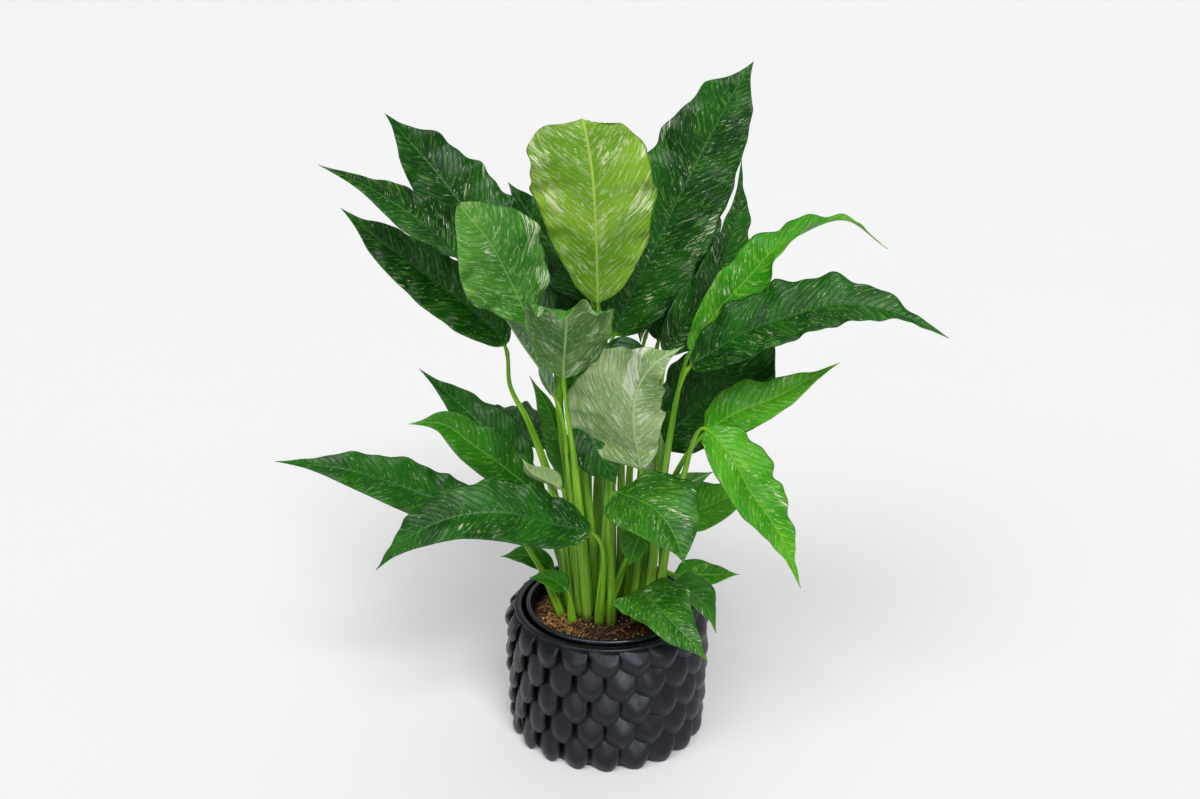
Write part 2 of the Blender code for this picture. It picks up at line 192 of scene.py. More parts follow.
def smoothPath(points, stations):
    # Hermite curve through the points: at each one the tangent is the weighted mean of the slopes beside
    # it, and no span is pulled further than twice its shorter neighbour. Stations count the points.
    points = np.asarray(points, float)
    lengths = np.maximum(np.linalg.norm(np.diff(points, axis=0), axis=1), 1e-6)
    slopes = np.diff(points, axis=0) / lengths[:, None]
    tangents = np.empty_like(points)
    weights = lengths[:-1] / (lengths[:-1] + lengths[1:])
    tangents[1:-1] = slopes[:-1] * (1.0 - weights)[:, None] + slopes[1:] * weights[:, None]
    tangents[0] = slopes[0]
    tangents[-1] = slopes[-1]
    base = np.clip(np.floor(stations).astype(int), 0, len(points) - 2)
    t = (stations - base)[:, None]
    span = lengths[base]
    pullOut = np.minimum(span, 2.0 * lengths[np.maximum(base - 1, 0)])[:, None]
    pullIn = np.minimum(span, 2.0 * lengths[np.minimum(base + 1, len(lengths) - 1)])[:, None]
    return (points[base] * (2 * t ** 3 - 3 * t ** 2 + 1)
            + tangents[base] * pullOut * (t ** 3 - 2 * t ** 2 + t)
            + points[base + 1] * (3 * t ** 2 - 2 * t ** 3) + tangents[base + 1] * pullIn * (t ** 3 - t ** 2))


def unit(vectors):
    return vectors / np.maximum(np.linalg.norm(vectors, axis=-1, keepdims=True), 1e-9)


def smoothStep(value, low, high):
    t = np.clip((value - low) / (high - low), 0.0, 1.0)
    return t * t * (3.0 - 2.0 * t)


def lumps(x, y, wavelength, seed, layers=4):
    # Uneven ground: a sum of crossed sine waves, each layer 1.9 times finer and turned by the golden angle
    total = np.zeros(np.broadcast(x, y).shape)
    for layer in range(layers):
        turn = 2.4 * layer + seed
        k = 2.0 * np.pi / wavelength * 1.9 ** layer
        u = x * math.cos(turn) + y * math.sin(turn)
        v = -x * math.sin(turn) + y * math.cos(turn)
        crest = np.sin(k * u + 3.1 * seed + 1.3 * np.sin(0.7 * k * v + layer))
        total += crest * np.cos(0.8 * k * v + seed) / 1.6 ** layer
    return total


def belongs(piece, slot, *nodes):
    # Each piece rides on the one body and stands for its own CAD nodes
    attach(piece, "root")
    if nodes:
        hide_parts(*nodes)
    return piece


# Camera: 42 mm lens at the height of the leaf tips, 1.15 m in front, looking 21.3 degrees down
cameraPlace = {"location": (-0.0065, -1.147, 0.7743), "tilt": 68.7, "lens": 42.0}
cameraData = bpy.data.cameras.new("camera")
cameraData.lens = cameraPlace["lens"]
cameraData.sensor_width = 36.0
camera = bpy.data.objects.new("camera", cameraData)
camera.location = cameraPlace["location"]
camera.rotation_euler = (math.radians(cameraPlace["tilt"]), 0.0, 0.0)
bpy.context.scene.collection.objects.link(camera)
bpy.context.scene.camera = camera
bpy.context.scene.view_settings.view_transform = "Standard"

# Studio: a pale floor that fills the view, a soft key high in front and a little to the right, a wider and
# weaker one from the left, and a faint one behind. Each light: strength, spread in degrees, turn in degrees
studio = {
    "floor": "#eeeeed", "floorSize": 18.0, "worldColour": "#f6f8fb", "worldStrength": 0.33,
    "lights": {"key": (2.0, 28.0, (42.0, 0.0, 14.0)), "left": (1.0, 36.0, (42.0, 0.0, -38.0)),
               "back": (0.35, 60.0, (-42.0, 0.0, -20.0))}}


def buildStudio():
    made, tree = newMaterial("paleStudioPaper")  # matt paper: faint mottle only
    place = addNode(tree, "ShaderNodeTexCoord").outputs["Object"]
    grain = noise(tree, place, 3.0, 3.0)
    colour = blendColour(tree, grain, studio["floor"], "#ebebea")
    surface = finishSurface(tree, colour, ramp(tree, grain, 0.3, 0.7, 0.85, 0.95), None, 0.0, {"IOR": 1.45})
    addNode(tree, "ShaderNodeOutputMaterial", None, {"Surface": surface.outputs[0]})
    half = studio["floorSize"]
    corners = np.array([(-half, -half, 0.0), (half, -half, 0.0), (half, half, 0.0), (-half, half, 0.0)])
    makeMesh("studioFloor", corners, np.array([[0, 1, 2, 3]]), np.zeros((0, 3), int), made)
    world = bpy.data.worlds.new("softLight")
    bpy.context.scene.world = world
    world.use_nodes = True
    background = world.node_tree.nodes["Background"]
    background.inputs["Color"].default_value = linearColour(studio["worldColour"])
    background.inputs["Strength"].default_value = studio["worldStrength"]
    for name, (strength, spread, turn) in studio["lights"].items():
        light = bpy.data.lights.new(name, "SUN")
        light.energy = strength
        light.angle = math.radians(spread)
        lamp = bpy.data.objects.new(name, light)
        lamp.rotation_euler = [math.radians(a) for a in turn]
        bpy.context.scene.collection.objects.link(lamp)


buildStudio()
print("studio and camera set")


# Leaves. Each row, in millimetres: root on the soil, stalk points, blade points from neck to tip, full width,
# fold, and the way the upper face looks at the neck and at the tip
leafRows = {
    "tall_right": (
        (2, 13), [], [(5, 15, 380), (30, 25, 435), (70, 45, 515), (105, 60, 580), (125, 70, 610)],
        88, 0.25, (-2, -10, 3), (-3, -10, 3)),
    "centre_bright": (
        (4, -8), [(0, 2, 330)],
        [(-8, -24, 422), (-10, -42, 494), (-14, -52, 550), (-20, -45, 578), (-24, -12, 560)],
        98, 0.12, (0, 10, 1), (0, -3, -10)),
    "upper_left": (
        (-10, 11), [], [(-50, 20, 395), (-95, 45, 450), (-135, 65, 495), (-170, 80, 535), (-195, 85, 563)],
        72, 0.30, (2, -10, 5), (6, -10, 3)),
    "left_long_high": (
        (-26, -10), [(-33, -24, 260)],
        [(-44, -38, 342), (-72, -22, 389), (-97, -8, 420), (-132, 2, 462), (-162, 6, 488),
         (-198, 6, 514), (-242, 8, 534)],
        58, 0.45, (9, 7, 2), (-2, -10, 5)),
    "left_long_low": (
        (-33, -5), [(-47, 0, 231), (-71, 8, 304), (-86, 14, 334)],
        [(-90, 20, 369), (-120, 28, 401), (-158, 32, 431), (-200, 34, 464), (-230, 34, 491)],
        54, 0.30, (3, -10, 5), (3, -10, 5)),
    "left_front_light": (
        (-18, 3), [(-42, -4, 320), (-43, -34, 374)],
        [(-64, -50, 414), (-78, -54, 449), (-92, -66, 483), (-117, -78, 521)],
        76, 0.20, (2, -10, 6), (2, -10, 6)),
    "mid_left_underside": (
        (-18, -17), [(-29, -37, 285)],
        [(-37, -44, 363), (-35, -70, 402), (-33, -92, 430), (-33, -114, 444), (-37, -140, 445)],
        88, 0.20, (0, 10, 6), (0, 4, 10)),
    "mid_left_behind": (
        (-16, -7), [], [(-31, -4, 327), (-28, -5, 358), (-23, -8, 400)],
        36, 0.20, (0, -10, 3), (0, -10, 3)),
    "centre_dark": (
        (-6, -9), [(2, -8, 310)], [(-5, -18, 379), (9, -22, 368), (28, -27, 345), (48, -28, 322)],
        66, 0.20, (3, -10, 7), (5, -10, 5)),
    "front_pale": (
        (23, -5), [(30, -16, 200)],
        [(29, -38, 277), (23, -50, 319), (25, -66, 364), (39, -82, 391), (62, -88, 408)],
        116, 0.15, (4, 10, 1), (2, 8, -6)),
    "back_left_small": (
        (-12, 20), [], [(-14, 38, 407), (-42, 52, 441), (-68, 65, 476), (-88, 73, 505)],
        54, 0.30, (3, -10, 4), (3, -10, 4)),
    "back_centre": (
        (-2, 26), [], [(-2, 46, 374), (-8, 68, 403), (-12, 92, 425), (-10, 112, 445)],
        62, 0.30, (0, -10, 5), (0, -10, 5)),
    "back_right_droop": (
        (13, 22), [], [(17, 32, 388), (28, 40, 395), (30, 48, 363)],
        30, 0.30, (0, -5, 10), (0, 10, 5)),
    "right_behind": (
        (24, 28), [(34, 37, 270)], [(46, 44, 366), (57, 54, 398), (72, 63, 428), (84, 69, 457)],
        48, 0.30, (-2, -10, 3), (-2, -10, 3)),
    "right_narrow": (
        (28, 14), [(41, 8, 200)],
        [(52, 4, 366), (68, 8, 396), (92, 12, 433), (108, 18, 480), (113, 25, 535)],
        50, 0.35, (5, -10, 3), (5, -10, 3)),
    "right_twisted": (
        (37, 18), [],
        [(71, -4, 372), (92, -6, 408), (119, -8, 441), (147, -14, 473), (193, -20, 493), (232, -26, 470)],
        40, 0.40, (5, -10, 4), (0, 3, 10)),
    "right_arching": (
        (35, -15), [],
        [(70, -24, 366), (101, -34, 392), (141, -46, 416), (187, -58, 432), (226, -67, 431), (277, -75, 409)],
        62, 0.25, (0, -7, 10), (0, -7, 10)),
    "right_shaded": (
        (18, 8), [], [(43, 22, 273), (82, 30, 308), (114, 38, 347), (119, 44, 389), (100, 48, 425)],
        84, 0.25, (-2, -10, 4), (-2, -10, 4)),
    "right_bright_up": (
        (50, 1), [(61, 1, 253)], [(86, -16, 302), (111, -18, 321), (146, -14, 335), (203, 0, 362)],
        46, 0.30, (-2, -8, 8), (-2, -8, 8)),
    "right_bright_down": (
        (44, -11), [(66, -24, 261)],
        [(84, -44, 317), (104, -58, 298), (124, -72, 268), (145, -82, 237), (165, -94, 190)],
        54, 0.25, (4, -8, 8), (5, -8, 3)),
    "right_small_tip": (
        (32, -5), [], [(40, -5, 225), (65, -13, 247), (94, -20, 267)],
        30, 0.30, (0, 10, 3), (0, 10, 3)),
    "front_heart": (
        (4, -26), [], [(7, -50, 260), (27, -74, 264), (46, -96, 259), (57, -110, 246), (63, -118, 227)],
        74, 0.20, (1, -6, 10), (5, -10, 4)),
    "front_heart_under": (
        (-2, -17), [(16, -25, 178)], [(30, -52, 226), (24, -61, 215), (19, -66, 198)],
        28, 0.30, (-3, -8, 6), (-3, -8, 3)),
    "right_low": (
        (34, 4), [], [(56, -8, 210), (82, -6, 222), (109, -3, 233), (135, 2, 246)],
        42, 0.30, (0, -8, 8), (0, -8, 8)),
    "centre_shaded": (
        (-9, 1), [], [(-20, -10, 312), (-12, -20, 296), (-2, -27, 278), (8, -30, 259)],
        50, 0.30, (0, -10, 6), (0, -10, 2)),
    "left_narrow": (
        (-20, 16), [], [(-37, 16, 236), (-43, 19, 276), (-53, 22, 310), (-70, 27, 340)],
        26, 0.40, (-6, -10, 3), (-6, -10, 3)),
    "left_young_pale": (
        (-26, 1), [], [(-41, -12, 247), (-56, -15, 256), (-67, -17, 264), (-75, -19, 279)],
        24, 0.50, (0, 10, 6), (0, 10, 6)),
    "left_pair_high": (
        (-29, 12), [], [(-73, 20, 241), (-98, 29, 270), (-125, 40, 297), (-173, 57, 336)],
        50, 0.30, (4, -10, 6), (4, -10, 6)),
    "left_pair_low": (
        (-36, 4), [], [(-56, 2, 227), (-87, 0, 257), (-118, -3, 284), (-145, -3, 305), (-176, -5, 306)],
        42, 0.30, (3, -10, 8), (0, -10, 10)),
    "left_far": (
        (-42, -9), [(-63, -7, 168)],
        [(-106, -5, 222), (-150, -8, 233), (-191, -14, 253), (-238, -20, 270), (-292, -25, 279)],
        48, 0.30, (0, -9, 9), (0, -9, 9)),
    "front_left_droop": (
        (-7, -26), [],
        [(-13, -52, 222), (-51, -64, 238), (-87, -74, 252), (-129, -84, 254), (-171, -90, 234),
         (-197, -94, 208)],
        56, 0.25, (1, -9, 9), (-2, -9, 9)),
    "rim_left_back": (
        (-45, 4), [], [(-50, 5, 155), (-73, 5, 170), (-99, 8, 168)],
        20, 0.30, (0, -8, 8), (0, -8, 8)),
    "rim_left_front": (
        (-32, -21), [], [(-37, -20, 148), (-51, -24, 162), (-71, -27, 165)],
        20, 0.30, (0, -8, 8), (0, -8, 8)),
    "rim_front": (
        (26, -22), [], [(25, -34, 153), (42, -60, 157), (61, -88, 149), (87, -102, 124)],
        60, 0.22, (2, -6, 10), (4, -8, 6)),
    "rim_right": (
        (56, -7), [], [(58, -14, 148), (75, -26, 150), (89, -40, 140), (98, -52, 122)],
        38, 0.25, (5, -6, 8), (8, -6, 3)),
    "rim_right_light": (
        (48, 18), [(52, 16, 147)], [(62, 11, 147), (88, 6, 150), (123, 1, 153)],
        28, 0.30, (0, -8, 8), (0, -8, 8)),
    "stem_side_pale": (
        (25, 4), [], [(41, 10, 243), (45, 13, 264), (49, 16, 289)],
        24, 0.30, (0, 10, 2), (0, 10, 2)),
    "rear_left": (
        (-16, 30), [], [(-29, 62, 371), (-62, 110, 412), (-90, 150, 432), (-112, 185, 434)],
        68, 0.30, (2, -10, 10), (2, -3, 10)),
    "rear_tall": (
        (5, 34), [], [(5, 82, 361), (6, 114, 435), (8, 138, 486), (8, 154, 512)],
        68, 0.30, (0, -10, 5), (0, -10, 8)),
    "rear_right": (
        (14, 38), [], [(37, 66, 369), (64, 98, 416), (86, 128, 452), (99, 154, 465)],
        64, 0.30, (-2, -10, 8), (-2, -6, 10)),
    "rear_low": (
        (-4, 42), [], [(-6, 80, 269), (-2, 125, 276), (6, 168, 260), (14, 205, 224)],
        60, 0.30, (0, -5, 10), (0, 5, 10)),
    "rear_low_left": (
        (-28, 34), [], [(-55, 70, 250), (-92, 105, 262), (-125, 138, 252), (-150, 165, 226)],
        54, 0.30, (2, -4, 10), (-4, 5, 10)),
    "rear_low_right": (
        (27, 42), [], [(45, 72, 262), (78, 112, 276), (104, 150, 266), (126, 186, 236)],
        56, 0.30, (-1, -4, 10), (4, 5, 10)),
}

soil = {"edgeHeight": 114.5, "mound": 3.5, "radius": 68.9, "centre": (1.2, -1.2)}

leafShape = {
    "stalkBase": 3.6, "stalkNeck": 1.5, "sheath": 0.28, "kneeSwell": 0.35, "buried": 4.0,
    "bladeThickness": 0.55, "ribHeight": 1.5, "ribWidth": 1.6, "grooveDepth": 0.45,
    "veinRise": 0.75, "ringStep": 1.35, "acrossStep": 2.1}

# What differs from leaf to leaf: finish, cream share 0-1, brightness -1 to 1, margin wave in mm
leafLooks = {
    "tall_right": ("dark", 0.55, -0.10, 2.4), "centre_bright": ("lime", 0.62, -0.1, 2.6),
    "upper_left": ("dark", 0.35, -0.05, 2.4), "left_long_high": ("dark", 0.55, -0.15, 1.8),
    "left_long_low": ("dark", 0.45, -0.1, 1.8), "left_front_light": ("fresh", 0.7, 0.0, 2.8),
    "mid_left_underside": ("fresh", 0.7, -0.3, 5.0), "mid_left_behind": ("mid", 0.3, 0.0, 1.2),
    "centre_dark": ("dark", 0.3, -0.2, 1.5), "front_pale": ("pale", 0.95, 0.0, 2.4),
    "back_left_small": ("dark", 0.4, -0.1, 1.6), "back_centre": ("dark", 0.3, -0.2, 1.6),
    "back_right_droop": ("dark", 0.2, -0.1, 0.8), "right_behind": ("dark", 0.4, 0.0, 1.6),
    "right_narrow": ("dark", 0.45, -0.1, 2.0), "right_twisted": ("bright", 0.45, 0.0, 1.8),
    "right_arching": ("dark", 0.45, 0.05, 2.4), "right_shaded": ("dark", 0.35, -0.15, 2.0),
    "right_bright_up": ("bright", 0.45, 0.0, 1.8), "right_bright_down": ("bright", 0.5, 0.05, 2.0),
    "right_small_tip": ("mid", 0.2, 0.1, 0.8), "front_heart": ("mid", 0.5, 0.1, 1.8),
    "front_heart_under": ("mid", 0.2, -0.1, 0.8), "right_low": ("bright", 0.45, -0.1, 1.4),
    "centre_shaded": ("dark", 0.3, 0.0, 1.2), "left_narrow": ("mid", 0.25, -0.1, 0.8),
    "left_young_pale": ("pale", 0.3, 0.0, 0.8), "left_pair_high": ("dark", 0.3, 0.1, 1.6),
    "left_pair_low": ("mid", 0.25, -0.1, 1.4), "left_far": ("dark", 0.3, 0.25, 1.4),
    "front_left_droop": ("dark", 0.45, 0.1, 1.8), "rim_left_back": ("mid", 0.1, 0.0, 0.6),
    "rim_left_front": ("mid", 0.1, 0.1, 0.6), "rim_front": ("mid", 0.62, -0.15, 2.4),
    "rim_right": ("mid", 0.3, -0.25, 1.2), "rim_right_light": ("bright", 0.5, 0.0, 0.9),
    "stem_side_pale": ("pale", 0.4, 0.2, 0.8), "rear_left": ("dark", 0.45, -0.05, 2.2),
    "rear_tall": ("dark", 0.5, -0.1, 2.2), "rear_right": ("dark", 0.4, 0.0, 2.2),
    "rear_low": ("mid", 0.4, -0.2, 2.0), "rear_low_left": ("dark", 0.4, 0.1, 1.8),
    "rear_low_right": ("mid", 0.45, -0.1, 1.8)}

# Upper and under colours of the blades, dark to light, then vein and midrib, and the gloss. The vein colour
# is painted shade: a darker green that stands for the shade in the sunken side-vein grooves
leafFinishes = {
    "dark": {"name": "waxyDarkVariegatedLeaf", "upper": ("#0e420a", "#236b12", "#66a238"),
             "under": ("#3f7440", "#5c8f52"), "cream": "#dde6c4", "vein": "#0a2f0d", "rib": "#3c7a30",
             "underRib": "#9cc274", "roughness": 0.30, "slot": "dark_green_leaf", "glow": "#3f9a1e"},
    "mid": {"name": "waxyGreenVariegatedLeaf", "upper": ("#22660c", "#3c8c18", "#80b83e"),
            "under": ("#4c8a3a", "#6da54f"), "cream": "#e2ebc6", "vein": "#164d0e", "rib": "#63a53a",
            "underRib": "#a9cf74", "roughness": 0.32, "slot": "dark_green_leaf", "glow": "#5cb31e"},
    "bright": {"name": "youngBrightVariegatedLeaf", "upper": ("#38980f", "#5cb81c", "#a2d84a"),
               "under": ("#5aa332", "#7fbf4c"), "cream": "#e9f0c4", "vein": "#2b7a10", "rib": "#8cc63f",
               "underRib": "#b9dc7c", "roughness": 0.34, "slot": "bright_green_leaf", "glow": "#7fd024"},
    "lime": {"name": "youngLimeVariegatedLeaf", "upper": ("#5e9a10", "#7cb418", "#a9ce44"),
             "under": ("#6ea31a", "#92c02c"), "cream": "#f0f2c6", "vein": "#5a8c1c", "rib": "#b4d75c",
             "underRib": "#b9d560", "roughness": 0.38, "slot": "bright_green_leaf", "glow": "#a8d830"},
    "fresh": {"name": "mattYoungLeaf", "upper": ("#3a8420", "#5a9f34", "#9cc670"),
              "under": ("#4a7a32", "#76994f"), "cream": "#d4e4b8", "vein": "#2f7229", "rib": "#8cc268",
              "underRib": "#a5cc80", "roughness": 0.42, "slot": "dark_green_leaf", "glow": "#6fc43c"},
    "pale": {"name": "paleLeafUnderside", "upper": ("#2f7a26", "#4a9638", "#86b968"),
             "under": ("#86ab5e", "#b0cc88"), "cream": "#eef2dc", "vein": "#5d8a45", "rib": "#9cc274",
             "underRib": "#c4dca0", "roughness": 0.45, "slot": "pale_underside_leaf", "glow": "#9fce5a"}}


def leafMaterial(look):
    # Waxy leaf skin: cream streaks and flecks that run along the side veins, a pale midrib and margin, a
    # duller and paler underside, and a green stalk with fine long lines. bladeMap holds millimetres across
    # from the midrib, along it, and along it to where the point's side vein starts. bladeMask holds
    # upper side, blade or stalk, and distance from the margin. leafMood holds cream share, tone and a seed.
    made, tree = newMaterial(look["name"])
    place = addNode(tree, "ShaderNodeAttribute", {"attribute_name": "bladeMap"}).outputs["Vector"]
    mask = addNode(tree, "ShaderNodeAttribute", {"attribute_name": "bladeMask"}).outputs["Vector"]
    mood = addNode(tree, "ShaderNodeAttribute", {"attribute_name": "leafMood"}).outputs["Vector"]
    across, along, vein = addNode(tree, "ShaderNodeSeparateXYZ", None, {0: place}).outputs
    upper, blade, margin = addNode(tree, "ShaderNodeSeparateXYZ", None, {0: mask}).outputs
    cream, tone, seed = addNode(tree, "ShaderNodeSeparateXYZ", None, {0: mood}).outputs
    side = calc(tree, "ABSOLUTE", across)

    def veinNoise(thin, long, detail, shift):
        # Noise drawn out along the side veins: thin mm between streaks, long mm along them
        vector = addNode(tree, "ShaderNodeCombineXYZ", None, {
            0: calc(tree, "DIVIDE", vein, thin), 1: calc(tree, "DIVIDE", across, long),
            2: calc(tree, "ADD", seed, shift)}).outputs[0]
        return noise(tree, vector, 1.0, detail, 0.55)

    flecks = veinNoise(1.0, 4.0, 3.0, 0.0)
    streaks = veinNoise(3.6, 26.0, 4.0, 17.0)
    patches = veinNoise(34.0, 26.0, 2.0, 41.0)
    mottle = veinNoise(3.0, 8.0, 4.0, 67.0)
    broad = veinNoise(40.0, 60.0, 1.0, 93.0)

    # The share of cream lowers the level that a fleck has to pass; inside a patch it is lower still
    inPatch = calc(tree, "MULTIPLY", ramp(tree, patches, 0.56, 0.66), cream)
    fleckLevel = calc(tree, "SUBTRACT", 0.71, calc(tree, "MULTIPLY", cream, 0.12))
    fleckLevel = calc(tree, "SUBTRACT", fleckLevel, calc(tree, "MULTIPLY", inPatch, 0.13))
    fleckMask = calc(tree, "MULTIPLY", calc(tree, "SUBTRACT", flecks, fleckLevel), 22.0, True)
    streakLevel = calc(tree, "SUBTRACT", 0.735, calc(tree, "MULTIPLY", cream, 0.04))
    streakLevel = calc(tree, "SUBTRACT", streakLevel, calc(tree, "MULTIPLY", inPatch, 0.24))
    streakMask = calc(tree, "MULTIPLY", calc(tree, "SUBTRACT", streaks, streakLevel), 16.0, True)
    creamMask = calc(tree, "MAXIMUM", fleckMask, streakMask)
    creamMask = calc(tree, "MULTIPLY", creamMask, ramp(tree, side, 0.8, 2.5))

    shade = calc(tree, "ADD", ramp(tree, broad, 0.3, 0.7), tone, True)
    darkest, middle, light = look["upper"]
    green = blendColour(tree, shade, darkest, middle)
    greyGreen = calc(tree, "MULTIPLY", ramp(tree, mottle, 0.50, 0.72), calc(tree, "ADD", cream, 0.15), True)
    green = blendColour(tree, greyGreen, green, light)
    spacing = 6.5  # mm between the main side veins
    toVein = calc(tree, "PINGPONG", vein, 0.5 * spacing)
    # Painted shade: each side vein is drawn as a dark line in the vein colour, the shade its sunken groove
    # would hold, fading out near the margin
    paintedVeinShade = calc(tree, "MULTIPLY", ramp(tree, toVein, 0.0, 0.9, 0.34, 0.0), ramp(tree, margin, 0.5, 4.0))
    green = blendColour(tree, paintedVeinShade, green, look["vein"])
    green = blendColour(tree, creamMask, green, look["cream"])

    below = blendColour(tree, shade, *look["under"])
    below = blendColour(tree, calc(tree, "MULTIPLY", greyGreen, 0.6), below, look["cream"])
    # The same painted vein-groove shade on the underside, at 0.7 strength
    below = blendColour(tree, calc(tree, "MULTIPLY", paintedVeinShade, 0.7), below, look["vein"])
    below = blendColour(tree, calc(tree, "MULTIPLY", creamMask, 0.85), below, look["cream"])

    ribLine = ramp(tree, side, 0.5, 1.5, 1.0, 0.0)
    upperRib = ramp(tree, side, 0.25, 0.9, 0.75, 0.0)
    green = blendColour(tree, upperRib, green, look["rib"])
    below = blendColour(tree, ribLine, below, look["underRib"])
    skin = blendColour(tree, upper, below, green)
    skin = blendColour(tree, ramp(tree, margin, 0.15, 0.8, 0.75, 0.0), skin, look["rib"])

    lineVector = addNode(tree, "ShaderNodeCombineXYZ", None, {
        0: calc(tree, "MULTIPLY", across, 1.3), 1: calc(tree, "DIVIDE", along, 45.0), 2: seed}).outputs[0]
    fibres = noise(tree, lineVector, 1.0, 3.0)
    stalkColour = blendColour(tree, ramp(tree, fibres, 0.32, 0.68), "#529c12", "#a4d63c")
    stalkColour = blendColour(tree, ramp(tree, along, -330.0, -60.0, 0.35, 0.0), stalkColour, "#a9cf6a")
    colour = blendColour(tree, blade, stalkColour, skin)

    grain = veinNoise(0.8, 2.4, 2.0, 5.0)
    height = calc(tree, "ADD", calc(tree, "MULTIPLY", ramp(tree, toVein, 0.0, 1.2), 0.55),
                  calc(tree, "MULTIPLY", grain, 0.30))
    height = calc(tree, "MULTIPLY", height, blade)
    height = calc(tree, "ADD", height, calc(tree, "MULTIPLY", fibres, 0.3))
    rough = ramp(tree, mottle, 0.3, 0.7, look["roughness"] - 0.05, look["roughness"] + 0.09)
    rough = calc(tree, "ADD", rough, calc(tree, "MULTIPLY", calc(tree, "SUBTRACT", 1.0, upper), 0.10))
    surface = finishSurface(tree, colour, rough, height, 0.00045, {"IOR": 1.45, "Specular IOR Level": 0.36})
    glow = addNode(tree, "ShaderNodeBsdfTranslucent", None, {
        "Color": blendColour(tree, 0.5, colour, look["glow"])})
    both = addNode(tree, "ShaderNodeMixShader", {0: 0.28}, {1: surface.outputs[0], 2: glow.outputs[0]})
    addNode(tree, "ShaderNodeOutputMaterial", None, {"Surface": both.outputs[0]})
    return made


def soilHeight(x, y):
    # Level at the edge and mounded by half a cosine round the crown
    fraction = np.minimum(1.0, np.hypot(x, y) / soil["radius"])
    return soil["edgeHeight"] + soil["mound"] * 0.5 * (1.0 + np.cos(np.pi * fraction))


# Leaves whose outline differs from the rest: the powers that narrow the base and the tip, then the share of
# the half-width on the left and on the right of the midrib, and how far the right half leans to the base
leafOutlines = {
    "centre_bright": (0.72, 1.0, 1.0, 1.0, 0.35), "left_front_light": (0.90, 0.70, 1.0, 1.08, 0.0),
    "front_pale": (0.62, 1.6, 1.05, 0.45, -0.8), "mid_left_underside": (0.75, 1.25, 0.78, 0.86, 0.3),
    "centre_dark": (0.5, 0.8, 0.78, 0.78, 0.0), "back_centre": (0.5, 0.9, 1.0, 1.0, 0.0),
    "rim_front": (0.44, 1.12, 1.12, 1.0, 0.0), "rim_right": (0.48, 1.05, 1.0, 1.0, 0.0)}
usualOutline = (0.66, 1.15, 1.0, 1.0, 0.0)


